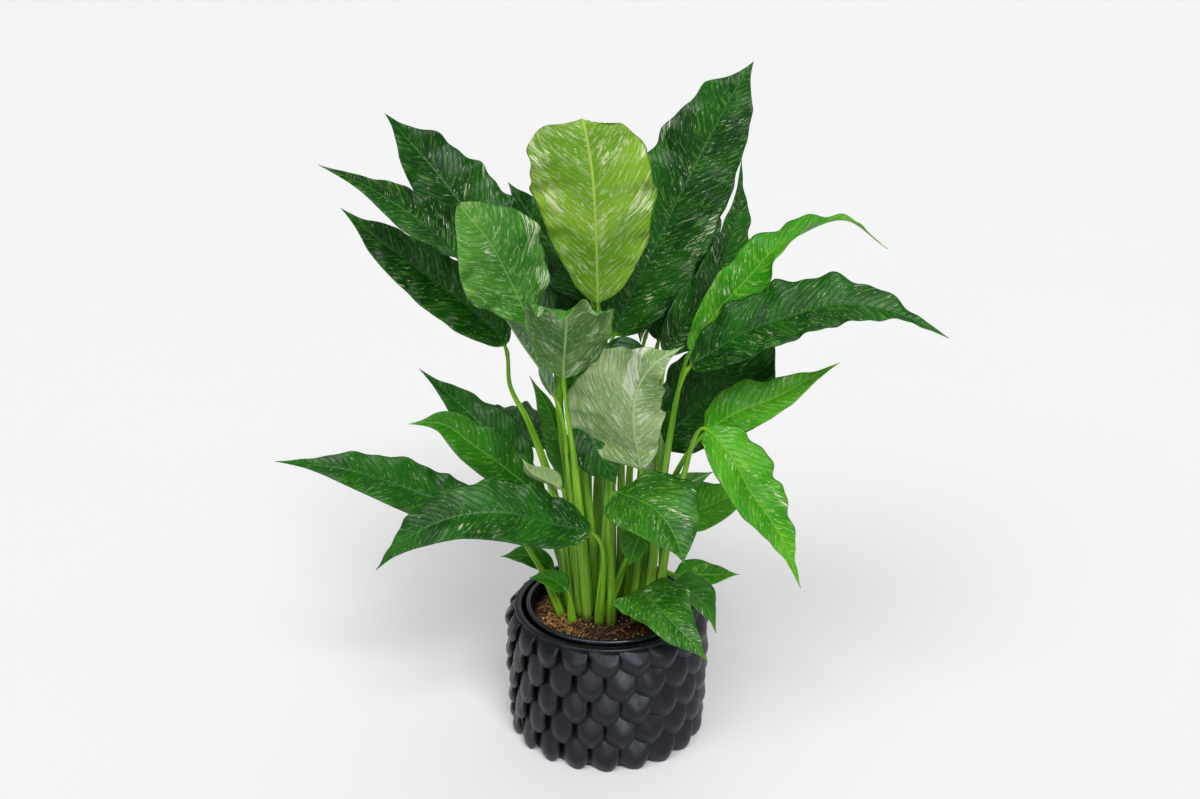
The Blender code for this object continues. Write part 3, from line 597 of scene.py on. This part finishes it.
def leafSurface(row, wave, outline, seed):
    # Rings round the leaf from root to tip. Position = spine + side * x + up * y. On the stalk (x, y) goes
    # round an ellipse with a groove on its upper side. On the blade x runs evenly from margin to margin and
    # y = fold * |x| + a swell between midrib and margin + margin waves + quilting between the side veins,
    # plus or minus half the thickness, with the rib below and a groove above.
    root, stalk, bladePoints, width, fold, faceNeck, faceTip = row
    draw = np.random.default_rng(seed)
    shape = leafShape
    start = (root[0], root[1],
             float(soilHeight(root[0] - soil["centre"][0], root[1] - soil["centre"][1])) + 0.5)
    path = np.array([start] + list(stalk) + list(bladePoints), float)
    neck = 1 + len(stalk)
    spans = np.linalg.norm(np.diff(path, axis=0), axis=1)
    stalkRings = int(np.clip(spans[:neck].sum() / 6.0, 12, 60))
    bladeRings = int(np.clip(spans[neck:].sum() / shape["ringStep"], 40, 190))
    across = 2 * int(np.clip(width / shape["acrossStep"], 14, 46) / 2)
    t = np.linspace(0.0, 1.0, bladeRings + 1)
    u = 0.994 * (0.75 * t + 0.25 * t ** 2)  # the tip ends in a point just short of the last path point
    stations = np.concatenate([
        np.linspace(0.0, neck, stalkRings, endpoint=False), neck + (len(bladePoints) - 1) * u])
    spine = smoothPath(path, stations)
    ahead = smoothPath(path, np.minimum(stations + 0.02, len(path) - 1.0))
    behind = smoothPath(path, np.maximum(stations - 0.02, 0.0))
    forward = unit(ahead - behind)
    u = np.clip((stations - neck) / (len(bladePoints) - 1.0), 0.0, 1.0)[:, None]
    face = np.asarray(faceNeck, float) * (1.0 - u) + np.asarray(faceTip, float) * u
    forward[0] = (0.0, 0.0, 1.0)
    side = unit(np.cross(face, forward))
    up = np.cross(forward, side)
    onStalk = np.clip(stations / neck, 0.0, 1.0)[:, None]
    travelled = np.concatenate([[0.0], np.cumsum(np.linalg.norm(np.diff(spine, axis=0), axis=1))])
    travelled = (travelled - travelled[stalkRings])[:, None]

    basePower, tipPower, leftShare, rightShare, skew = outline
    widest = basePower / (basePower + tipPower)
    half = 0.5 * width * (u / widest) ** basePower * ((1.0 - u) / (1.0 - widest)) ** tipPower
    half = half * (1.0 - 0.42 * smoothStep(u, 0.70, 0.97) * min(1.0, tipPower))
    stalkRadius = shape["stalkNeck"] + (shape["stalkBase"] - shape["stalkNeck"]) * (1.0 - onStalk)
    stalkRadius = stalkRadius * (1.0 + shape["kneeSwell"] * np.exp(-((onStalk - 0.96) / 0.02) ** 2))
    sheath = shape["sheath"] * smoothStep(0.75 - onStalk, 0.0, 0.5)
    blend = np.clip(u / 0.12, 0.0, 1.0)
    blend = blend * blend * (3.0 - 2.0 * blend)

    turn = np.pi + 2.0 * np.pi * np.arange(2 * across) / (2 * across)
    step = np.arange(2 * across) / across
    even = np.where(step <= 1.0, 2.0 * step - 1.0, 3.0 - 2.0 * step)
    above = np.where(step > 1.0, 1.0, 0.0)
    above[0] = above[across] = 0.5
    s = even * blend + np.cos(turn) * (1.0 - blend)
    edge = np.abs(s)

    # The margins wander in and out a little, differently left and right
    phase = draw.uniform(0.0, 2.0 * np.pi, 6)
    length = draw.uniform(34.0, 48.0, 2)
    leftSide = np.where(s < 0.0, 1.0, 0.0)
    waveLeft = np.sin(2 * np.pi * travelled / length[0] + phase[0]) + 0.5 * np.sin(
        2 * np.pi * travelled / (0.47 * length[0]) + phase[1])
    waveRight = np.sin(2 * np.pi * travelled / length[1] + phase[2]) + 0.5 * np.sin(
        2 * np.pi * travelled / (0.53 * length[1]) + phase[3])
    ripple = leftSide * waveLeft + (1.0 - leftSide) * waveRight
    onLeft = smoothStep(-s, -0.06, 0.06)
    sideShare = rightShare + (leftShare - rightShare) * onLeft
    sideShare = sideShare * (1.0 + skew * (0.4 - u) * (1.0 - 2.0 * onLeft))
    halfBlade = np.maximum(half, 0.25) * (1.0 + 0.035 * ripple) * sideShare
    halfStalk = stalkRadius * (1.0 + sheath) * np.where(u > 0.0, 1.0 - u ** 0.5, 1.0)
    reach = np.maximum(halfBlade * np.minimum(1.0, u * 60.0), halfStalk)
    x = s * reach

    taper = np.clip(reach / 6.0, 0.0, 1.0)
    vein = travelled - shape["veinRise"] * np.abs(x) * (1.0 + 0.5 * edge)
    vein = vein + 1.6 * np.sin(0.11 * travelled + 0.06 * x + phase[4]) + np.where(s < 0.0, 3.2, 0.0)
    quilt = np.abs(np.sin(np.pi * vein / 6.5)) ** 0.7 - 0.6
    quilt = quilt * (0.75 + 0.35 * np.sin(0.07 * vein + 0.13 * x + phase[1]))
    quilt = 0.75 * quilt * smoothStep(np.abs(x), 0.5, 6.0) * smoothStep(reach - np.abs(x), 0.0, 5.0)
    surface = fold * reach * (np.sqrt(edge ** 2 + 0.0009) - 0.03)
    surface = surface + 0.16 * reach * edge * (1.0 - edge)
    surface = surface + 1.25 * wave * taper * np.sin(np.pi * u) ** 0.5 * edge ** 2.2 * ripple
    surface = surface + quilt
    surface = surface + 1.2 * taper * np.sin(2 * np.pi * travelled / 90.0 + phase[5]) * (1.0 - edge)
    surface = surface * blend

    thick = 0.5 * shape["bladeThickness"] * np.sqrt(np.clip(1.0 - edge ** 8, 0.0, 1.0)) * (1.0 - 0.4 * u)
    ribFade = (1.0 - 0.8 * u)
    rib = shape["ribHeight"] * ribFade * np.exp(-(x / shape["ribWidth"]) ** 2)
    groove = shape["grooveDepth"] * ribFade * np.exp(-(x / 1.0) ** 2)
    bladeY = surface + np.where(above > 0.5, thick - groove, -thick - rib)
    bladeY = np.where(above == 0.5, surface, bladeY)
    hollow = 0.30 * stalkRadius * sheath / shape["sheath"] * np.exp(-(s / 0.3) ** 2)
    stalkY = stalkRadius * np.sin(turn) * (1.0 - 0.5 * sheath) - np.where(above > 0.5, hollow, 0.0)
    stalkY = stalkY * (1.0 - u) ** 0.8
    y = stalkY * (1.0 - blend) + bladeY * blend

    rings = spine[:, None, :] + side[:, None, :] * x[..., None] + up[:, None, :] * y[..., None]
    rings[0, :, 2] -= shape["buried"]
    upperSide = np.broadcast_to(above, x.shape)
    bladeHere = np.broadcast_to(smoothStep(u, 0.0, 0.03), x.shape)
    bladeMap = np.stack([x, np.broadcast_to(travelled, x.shape), vein], axis=-1)
    bladeMask = np.stack([upperSide, bladeHere, np.maximum(reach - np.abs(x), 0.0)], axis=-1)
    return rings, bladeMap, bladeMask


def buildLeaves():
    finishes = {kind: leafMaterial(look) for kind, look in leafFinishes.items()}
    for number, (name, row) in enumerate(leafRows.items()):
        kind, cream, tone, wave = leafLooks[name]
        outline = leafOutlines.get(name, usualOutline)
        rings, bladeMap, bladeMask = leafSurface(row, wave, outline, 100 + number)
        mood = np.broadcast_to((cream, tone, 7.3 * number), bladeMap.shape)
        leaf = tubePiece("leaf." + name, rings, finishes[kind],
                         {"bladeMap": bladeMap, "bladeMask": bladeMask, "leafMood": mood})
        belongs(leaf, leafFinishes[kind]["slot"], "leaf_" + name)


buildLeaves()
print("leaves made")


# Outer planter, in millimetres
planter = {
    "crestFoot": 92.5, "crestTop": 95.5, "relief": 11.5, "scalesRound": 20, "phase": 0.38,
    "rows": 5, "rowPitch": 25.0,
    "height": 125.5, "shoulder": 119.0, "ringOuter": 86.0, "ringInner": 79.5, "innerWall": 78.5,
    "floor": 6.0, "foot": 85.0, "shellWall": 2.6, "acrossSteps": 22, "downSteps": 15}


def resinMaterial():
    # Satin black printed resin: soft blue-grey sheen, with faint level lines from the printed layers. Real
    # layers are 0.2 mm; they are drawn 0.8 mm apart so that they show at all.
    made, tree = newMaterial("satinBlackPrintedResin")
    place = addNode(tree, "ShaderNodeTexCoord").outputs["Object"]
    z = addNode(tree, "ShaderNodeSeparateXYZ", None, {0: place}).outputs["Z"]
    layers = calc(tree, "SINE", calc(tree, "MULTIPLY", z, 2.0 * math.pi / 0.0008))
    cloud = noise(tree, place, 60.0, 3.0)
    speck = noise(tree, place, 900.0, 2.0)
    colour = blendColour(tree, ramp(tree, cloud, 0.3, 0.7), "#08090b", "#0e0f12")
    colour = blendColour(tree, ramp(tree, speck, 0.66, 0.74, 0.0, 0.25), colour, "#4a4c54")
    rough = ramp(tree, cloud, 0.3, 0.7, 0.25, 0.32)
    height = calc(tree, "ADD", calc(tree, "MULTIPLY", layers, 0.5), calc(tree, "MULTIPLY", speck, 0.06))
    surface = finishSurface(tree, colour, rough, height, 0.00009, {
        "IOR": 1.5, "Specular IOR Level": 0.46, "Specular Tint": linearColour("#e6ebff")})
    addNode(tree, "ShaderNodeOutputMaterial", None, {"Surface": surface.outputs[0]})
    return made


def plasticMaterial():
    # Moulded polypropylene nursery pot: glossy blue-black with light handling scuffs and some dust
    made, tree = newMaterial("glossBlackPolypropylene")
    place = addNode(tree, "ShaderNodeTexCoord").outputs["Object"]
    cloud = noise(tree, place, 45.0, 4.0, 0.6)
    dust = noise(tree, place, 420.0, 3.0)
    colour = blendColour(tree, ramp(tree, cloud, 0.35, 0.7), "#0d1118", "#171d28")
    colour = blendColour(tree, ramp(tree, dust, 0.62, 0.72, 0.0, 0.35), colour, "#4b4640")
    rough = ramp(tree, cloud, 0.3, 0.75, 0.16, 0.34)
    surface = finishSurface(tree, colour, rough, dust, 0.00008, {"IOR": 1.49})
    addNode(tree, "ShaderNodeOutputMaterial", None, {"Surface": surface.outputs[0]})
    return made


def crestRadius(height):
    return planter["crestFoot"] + (planter["crestTop"] - planter["crestFoot"]) * np.minimum(
        1.0, 2.0 * height / planter["height"])


def scaleShells():
    # Each scale is a closed shell, made of profile loops side by side. Across it (p from 0 left to 1 right)
    # the wall swells from a tucked-in left side to a soft ridge at two thirds, and its right side stands
    # proud of the next scale. Down it (q) the wall comes out from under the row above, and its lower edge
    # is an arc, lowest at 0.6 of the width. The wall is fullest a third of a row above that edge, and it
    # curls back in below, so that each row reads as a string of round bumps from the side.
    pitch, wall = planter["rowPitch"], planter["shellWall"]
    p = np.concatenate([[-0.10], np.linspace(-0.06, 0.90, planter["acrossSteps"]),
                        [0.94, 0.97, 0.99, 1.0]])
    lobe = 0.34 + 0.66 * np.sin(0.5 * np.pi * np.clip(p / 0.68, 0.0, 1.0)) ** 1.1
    lobe = lobe - 0.17 * np.clip((p - 0.68) / 0.32, 0.0, 1.0) ** 1.6
    fromEdge = np.clip((1.0 - p) / 0.045, 0.0, 1.0)
    rolled = wall * 0.5 * (1.0 - np.sqrt(1.0 - (1.0 - fromEdge) ** 2))
    wallHere = wall * np.sqrt(np.clip(1.0 - (1.0 - fromEdge) ** 2, 0.02, 1.0))
    side = (p - 0.6) / np.where(p < 0.6, 0.6, 0.4)
    dip = np.where(p < 0.6, 0.26, 0.38) * np.abs(side) ** 2.2
    q = np.linspace(0.0, 1.0, planter["downSteps"]) ** 0.85
    roll = np.linspace(0.0, np.pi, 6)[1:-1]
    shells = []
    for row in range(planter["rows"]):
        top = row == planter["rows"] - 1
        base = row * pitch
        low = base + 1.2 + dip * pitch
        high = np.full_like(p, planter["height"] - 2.0 if top else base + 1.50 * pitch)
        z = high[:, None] + (low - high)[:, None] * q
        rise = (z - low[:, None]) / pitch
        under = 1.0 - 0.20 * np.clip((0.34 - rise) / 0.34, 0.0, 1.0) ** 2.2
        over = 1.0 - 0.72 * np.clip((rise - 0.34) / 0.80, 0.0, 1.4) ** 1.4
        hang = np.where(rise < 0.34, under, over)
        bury = smoothStep(1.46 - (z - base) / pitch, 0.0, 0.10)
        hang = np.where(top, hang, hang * bury)
        radius = crestRadius(z) - planter["relief"] * (1.0 - lobe[:, None] * hang) - rolled[:, None]
        if top:
            shoulder = np.clip((planter["height"] - 2.0 - z) / 11.0, 0.0, 1.0)
            lift = np.sqrt(1.0 - (1.0 - shoulder) ** 2)
            radius = planter["ringOuter"] - 1.2 + (radius - planter["ringOuter"] + 1.2) * lift
        lowRadius = radius[:, -1:] - 0.5 * wallHere[:, None]
        rollRadius = lowRadius + 0.5 * wallHere[:, None] * np.cos(roll)
        rollZ = low[:, None] - 0.35 * wallHere[:, None] * np.sin(roll)
        inner = slice(None, None, -2)
        profileRadius = np.concatenate([radius, rollRadius, radius[:, inner] - wallHere[:, None]], axis=1)
        profileZ = np.maximum(np.concatenate([z, rollZ, z[:, inner]], axis=1), 0.0)
        for number in range(planter["scalesRound"]):
            angle = (number + p - 0.5 * (row % 2) + planter["phase"]) * 2.0 * np.pi / planter["scalesRound"]
            shells.append(np.stack([
                profileRadius * np.cos(angle)[:, None], profileRadius * np.sin(angle)[:, None],
                profileZ], axis=-1))
    return np.array(shells)


def buildPlanter(made):
    belongs(joinedTubes("planter.scales", scaleShells(), made), "satin_black_printed_resin", "planter")
    ring, inside = planter["ringOuter"], planter["innerWall"]
    deep = planter["relief"] * 0.93
    heights = np.linspace(3.0, planter["shoulder"] - 2.0, 24)
    wall = [(crestRadius(z) - deep, z) for z in heights]
    profile = [(planter["foot"] - 4.2, 0.0), (planter["foot"] - 3.6, 0.6)] + wall + [
        (ring + 0.5, planter["shoulder"] + 1.5), (ring, planter["height"] - 1.4),
        (ring - 0.4, planter["height"] - 0.4),
        (ring - 1.3, planter["height"]), (planter["ringInner"] + 1.0, planter["height"]),
        (planter["ringInner"] + 0.2, planter["height"] - 0.4),
        (planter["ringInner"], planter["height"] - 1.2),
        (inside, 90.0), (inside, planter["floor"] + 2.0), (inside - 2.0, planter["floor"])]
    body = tubePiece("planter.body", turned(profile, 168), made)
    belongs(body, "satin_black_printed_resin")


nursery = {"centre": (1.2, -1.2), "top": 128.5, "rimRadius": 76.2, "wall": 1.4, "foot": 56.0, "neck": 72.5,
           "low": 6.3, "bead": 2.3}


def buildNurseryPot(made):
    # Thin tapering wall under a rolled bead, which is swung from outside over the top to inside. The whole
    # pot is pulled 0.3 mm out of round.
    def wallRadius(z):
        return nursery["foot"] + (nursery["neck"] - nursery["foot"]) * (z - 6.0) / (nursery["top"] - 6.0)

    low, bead, top = nursery["low"], nursery["bead"], nursery["top"]
    turn = np.linspace(-0.25 * np.pi, 1.0 * np.pi, 12)
    middle = nursery["rimRadius"] - bead
    rim = [(middle + bead * math.cos(a), top - bead + bead * math.sin(a)) for a in turn]
    outside = [(wallRadius(low) - 1.0, low), (wallRadius(low), low + 1.0)]
    outside += [(wallRadius(z), z) for z in np.linspace(12.0, 117.0, 12)]
    outside += [(wallRadius(118.5) + 0.4, 119.5), (middle + 0.4, 122.0), (middle + 0.9, top - 2.4 * bead)]
    innerHeights = (122.0, 116.0, 90.0, 60.0, 30.0, low + nursery["wall"])
    inner = [(wallRadius(z) - nursery["wall"], z) for z in innerHeights]
    rings = turned(outside + rim + inner, 180, nursery["centre"])
    angle = np.linspace(0.0, 2.0 * np.pi, 180, endpoint=False)
    strain = 0.3 * np.sin(2.0 * angle + 0.6) + 0.12 * np.sin(5.0 * angle)
    height = np.clip((rings[..., 2] - 60.0) / 60.0, 0.0, 1.0)
    rings[..., 0] += strain * height * np.cos(angle)
    rings[..., 1] += strain * height * np.sin(angle)
    belongs(tubePiece("nurseryPot", rings, made), "gloss_black_moulded_plastic", "nursery_pot")


soilLook = {"crumbs": 900, "chips": 260, "fibres": 520, "grit": 60, "seed": 11}


def soilMaterial(name, dark, light, fleck, roughness, scale):
    # Peat, coir or bark: dark damp ground with paler dry flecks, matt, and rough down to 0.5 mm grains
    made, tree = newMaterial(name)
    place = addNode(tree, "ShaderNodeTexCoord").outputs["Object"]
    cloud = noise(tree, place, scale, 4.0, 0.65)
    grain = noise(tree, place, 1400.0, 3.0, 0.6)
    colour = blendColour(tree, ramp(tree, cloud, 0.35, 0.65), dark, light)
    colour = blendColour(tree, ramp(tree, grain, 0.58, 0.70), colour, fleck)
    surface = finishSurface(
        tree, colour, ramp(tree, grain, 0.3, 0.7, roughness - 0.08, roughness), grain, 0.0006, {"IOR": 1.4})
    addNode(tree, "ShaderNodeOutputMaterial", None, {"Surface": surface.outputs[0]})
    return made


def groundHeight(x, y):
    # Soil surface with its lumps, in the pot's own middle
    rough = 0.9 * lumps(x, y, 26.0, 1.7, 3) + 0.45 * lumps(x, y, 7.0, 4.1, 4)
    edge = smoothStep(np.hypot(x, y), 66.0, 69.5)
    return soilHeight(x, y) + rough * (1.0 - 0.6 * edge) - 0.5


def scatter(draw, count, reach):
    # Evenly spread places on a disc
    angle = draw.uniform(0.0, 2.0 * np.pi, count)
    radius = reach * np.sqrt(draw.uniform(0.0, 1.0, count))
    return radius * np.cos(angle), radius * np.sin(angle)


def coirShare(x, y):
    # Dry tan coir lies at the left and the back right, dark peat in the middle
    angle = np.arctan2(y, x)
    left = np.exp(-((np.abs(angle) - np.pi) / 0.95) ** 2)
    back = np.exp(-((angle - 0.75) / 0.55) ** 2)
    return np.clip((left + back) * smoothStep(np.hypot(x, y), 18.0, 45.0), 0.0, 1.0)


def lumpTubes(draw, x, y, length, thick, sink):
    # Small broken lumps: five rings of six points, each ring's radius and place drawn at random
    count = len(x)
    turn = draw.uniform(0.0, np.pi, count)
    tilt = draw.uniform(-0.35, 0.35, count)
    forward = np.stack([np.cos(turn) * np.cos(tilt), np.sin(turn) * np.cos(tilt), np.sin(tilt)], axis=-1)
    side = unit(np.cross((0.0, 0.0, 1.0), forward))
    up = np.cross(forward, side)
    t = np.linspace(-1.0, 1.0, 5)
    angle = np.linspace(0.0, 2.0 * np.pi, 6, endpoint=False)
    swell = np.sqrt(1.0 - (0.93 * t) ** 2)[None, :, None] * draw.uniform(0.65, 1.25, (count, 5, 6))
    a = swell * np.cos(angle) * thick[:, None, None]
    b = swell * np.sin(angle) * thick[:, None, None] * 0.75
    height = groundHeight(x, y) + sink * thick
    middle = np.stack([x + soil["centre"][0], y + soil["centre"][1], height], axis=-1)
    axis = forward[:, None, None, :] * (t[None, :, None, None] * 0.5 * length[:, None, None, None])
    return (middle[:, None, None, :] + axis + side[:, None, None, :] * a[..., None]
            + up[:, None, None, :] * b[..., None])


def fibreTubes(draw, x, y, length, thick):
    # Coir fibres: four-sided strands of seven rings that arch over the crumbs
    count = len(x)
    turn = draw.uniform(0.0, 2.0 * np.pi, count)
    bend = draw.normal(0.0, 0.5, count)
    t = np.linspace(-0.5, 0.5, 7)
    heading = turn[:, None] + bend[:, None] * t * 2.0
    px = x[:, None] + length[:, None] * t * np.cos(heading)
    py = y[:, None] + length[:, None] * t * np.sin(heading)
    away = np.maximum(np.hypot(px, py) / 67.0, 1.0)
    px, py = px / away, py / away
    arch = draw.uniform(0.3, 1.6, count)[:, None] * (1.0 - (2.0 * t) ** 2)
    rise = arch + draw.uniform(0.1, 0.7, count)[:, None]
    spine = np.stack([px + soil["centre"][0], py + soil["centre"][1], groundHeight(px, py) + rise], axis=-1)
    forward = unit(np.gradient(spine, axis=1))
    side = unit(np.cross((0.0, 0.0, 1.0), forward))
    up = np.cross(forward, side)
    angle = np.linspace(0.0, 2.0 * np.pi, 4, endpoint=False)
    radius = (thick[:, None] * (1.0 - 0.6 * np.abs(2.0 * t)))[..., None]
    return (spine[:, :, None, :] + side[:, :, None, :] * (radius * np.cos(angle))[..., None]
            + up[:, :, None, :] * (radius * np.sin(angle))[..., None])


def buildSoil():
    draw = np.random.default_rng(soilLook["seed"])
    peat = soilMaterial("dampPeat", "#1d120b", "#3a2415", "#6b4a2c", 0.98, 160.0)
    bark = soilMaterial("barkChips", "#3b2313", "#6f4526", "#a4753f", 0.9, 240.0)
    coir = soilMaterial("dryCoirFibre", "#8a5f33", "#c08f52", "#dcb67c", 0.88, 300.0)
    grit = soilMaterial("perliteGrit", "#cfcabd", "#efece2", "#ffffff", 0.85, 500.0)
    reach = 69.6
    around, steps = 260, 64
    fraction = np.linspace(1.0, 0.01, steps) ** 0.9
    angle = np.linspace(0.0, 2.0 * np.pi, around, endpoint=False)
    x = reach * fraction[:, None] * np.cos(angle)
    y = reach * fraction[:, None] * np.sin(angle)
    surface = np.stack([x + soil["centre"][0], y + soil["centre"][1], groundHeight(x, y)], axis=-1)
    sideWall = turned([(54.9, 8.0), (66.0, 98.0)], around, soil["centre"])
    ground = tubePiece("soil.peat", np.concatenate([sideWall, surface]), peat)
    belongs(ground, "peat_and_coir_soil", "potting_soil")

    x, y = scatter(draw, soilLook["crumbs"], 66.5)
    size = draw.uniform(0.6, 1.9, len(x)) ** 1.2
    crumbs = lumpTubes(draw, x, y, 2.2 * size, size, 0.15)
    belongs(joinedTubes("soil.crumbs", crumbs, peat), "peat_and_coir_soil")

    x, y = scatter(draw, soilLook["chips"] * 4, 66.0)
    keep = draw.uniform(0.0, 1.0, len(x)) < 0.12 + 0.8 * coirShare(x, y)
    x, y = x[keep], y[keep]
    size = draw.uniform(0.6, 1.5, len(x))
    chips = lumpTubes(draw, x, y, 3.6 * size, size, 0.45)
    half = len(x) // 2
    belongs(joinedTubes("soil.barkChips", chips[:half], bark), "peat_and_coir_soil")
    belongs(joinedTubes("soil.coirChips", chips[half:], coir), "peat_and_coir_soil")

    x, y = scatter(draw, soilLook["fibres"] * 3, 64.0)
    keep = draw.uniform(0.0, 1.0, len(x)) < 0.08 + 0.8 * coirShare(x, y)
    x, y = x[keep], y[keep]
    fibres = fibreTubes(draw, x, y, draw.uniform(6.0, 20.0, len(x)), draw.uniform(0.16, 0.34, len(x)))
    belongs(joinedTubes("soil.coirFibres", fibres, coir), "peat_and_coir_soil")

    x, y = scatter(draw, soilLook["grit"], 63.0)
    size = draw.uniform(0.5, 1.1, len(x))
    white = lumpTubes(draw, x, y, 2.0 * size, size, 0.7)
    belongs(joinedTubes("soil.perlite", white, grit), "peat_and_coir_soil")


# Dried stalk: points along it, in millimetres, and the short twig that forks off it
dryStalk = {"points": [(26, -27, 120.5), (17, -38, 121.5), (11, -50, 125), (4, -62, 129), (-1, -70, 131.4)],
            "twig": [(11, -50, 125.3), (16, -58, 126.6), (17, -65, 129.6)], "radius": 0.9}


def stalkRings(points, radius, seed):
    # Round rod whose radius goes in and out where old sheaths were, with fine wrinkles along it
    stations = np.linspace(0.0, len(points) - 1.0, 60)
    spine = smoothPath(points, stations)
    forward = unit(np.gradient(spine, axis=0))
    side = unit(np.cross((0.0, 0.0, 1.0), forward))
    up = np.cross(forward, side)
    angle = np.linspace(0.0, 2.0 * np.pi, 14, endpoint=False)
    t = stations[:, None] / stations[-1]
    wrinkle = 1.0 + 0.16 * np.sin(3.0 * angle + 5.0 * t + seed) + 0.10 * np.sin(47.0 * t + 2.0 * angle)
    knots = 1.0 + 0.45 * np.exp(-((t - 0.22) / 0.03) ** 2) + 0.35 * np.exp(-((t - 0.68) / 0.025) ** 2)
    grown = radius * (1.05 - 0.45 * t) * wrinkle * knots
    return (spine[:, None, :] + side[:, None, :] * (grown * np.cos(angle))[..., None]
            + up[:, None, :] * (grown * np.sin(angle))[..., None])


def buildDryStalk():
    # Dried stalk skin: reddish brown with paler flecks; the rod itself is wrinkled lengthways
    dry = soilMaterial("driedStalkSkin", "#5d2f22", "#8f5440", "#b98668", 0.8, 220.0)
    rods = np.array([stalkRings(dryStalk["points"], dryStalk["radius"], 0.0),
                     stalkRings(dryStalk["twig"], 0.55 * dryStalk["radius"], 2.0)])
    belongs(joinedTubes("dryStalk", rods, dry), "dried_brown_stalk", "dry_stalk")


buildPlanter(resinMaterial())
print("planter made")
buildNurseryPot(plasticMaterial())
buildSoil()
buildDryStalk()
print("nursery pot, soil and dried stalk made")
